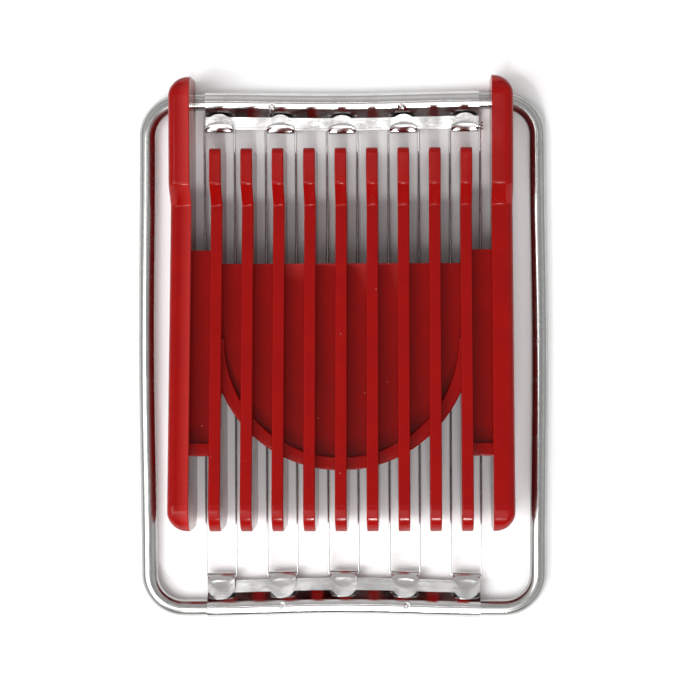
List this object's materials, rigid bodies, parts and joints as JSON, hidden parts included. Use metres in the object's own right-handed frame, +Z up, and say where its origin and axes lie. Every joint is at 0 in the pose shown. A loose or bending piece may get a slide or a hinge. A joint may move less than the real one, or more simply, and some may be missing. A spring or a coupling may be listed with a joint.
{
  "type": "egg slicer",
  "caption": "Folding egg slicer: a bent steel rod frame strung with tight cutting wires, hinged to a moulded ribbed egg holder with a sloping web plate; shown closed and upside down.",
  "frame": {"origin": "on the table under the middle of the closed slicer, which lies upside down with the rod frame and the rim of the egg holder on the table", "axes": "+X across the slicer, +Y from the grip end to the hinge end, +Z up, away from the open side of the egg holder"},
  "size_m": [0.0856, 0.1124, 0.0211],
  "materials": {
    "frame_steel": "polished round rod with fine drawing lines",
    "sleeve_steel": "bright folded sheet steel",
    "wire_steel": "bright thin wire",
    "red_plastic": "satin moulded plastic"
  },
  "bodies": {
    "wire_frame": {"left_frame_rod": "frame_steel", "right_frame_rod": "frame_steel", "hinge_sleeve": "sleeve_steel", "grip_sleeve": "sleeve_steel", "wire_loop_1": "wire_steel", "wire_loop_2": "wire_steel", "wire_loop_3": "wire_steel", "wire_loop_4": "wire_steel", "wire_loop_5": "wire_steel"},
    "egg_holder": {"egg_holder": "red_plastic"}
  },
  "joints": [
    {"name": "holder_hinge", "type": "hinge", "parent": "wire_frame", "child": "egg_holder", "pos_m": [0, 0.05167, 0.00213], "axis": [-1, 0, 0], "range_deg": [-7.5, 180]}
  ]
}
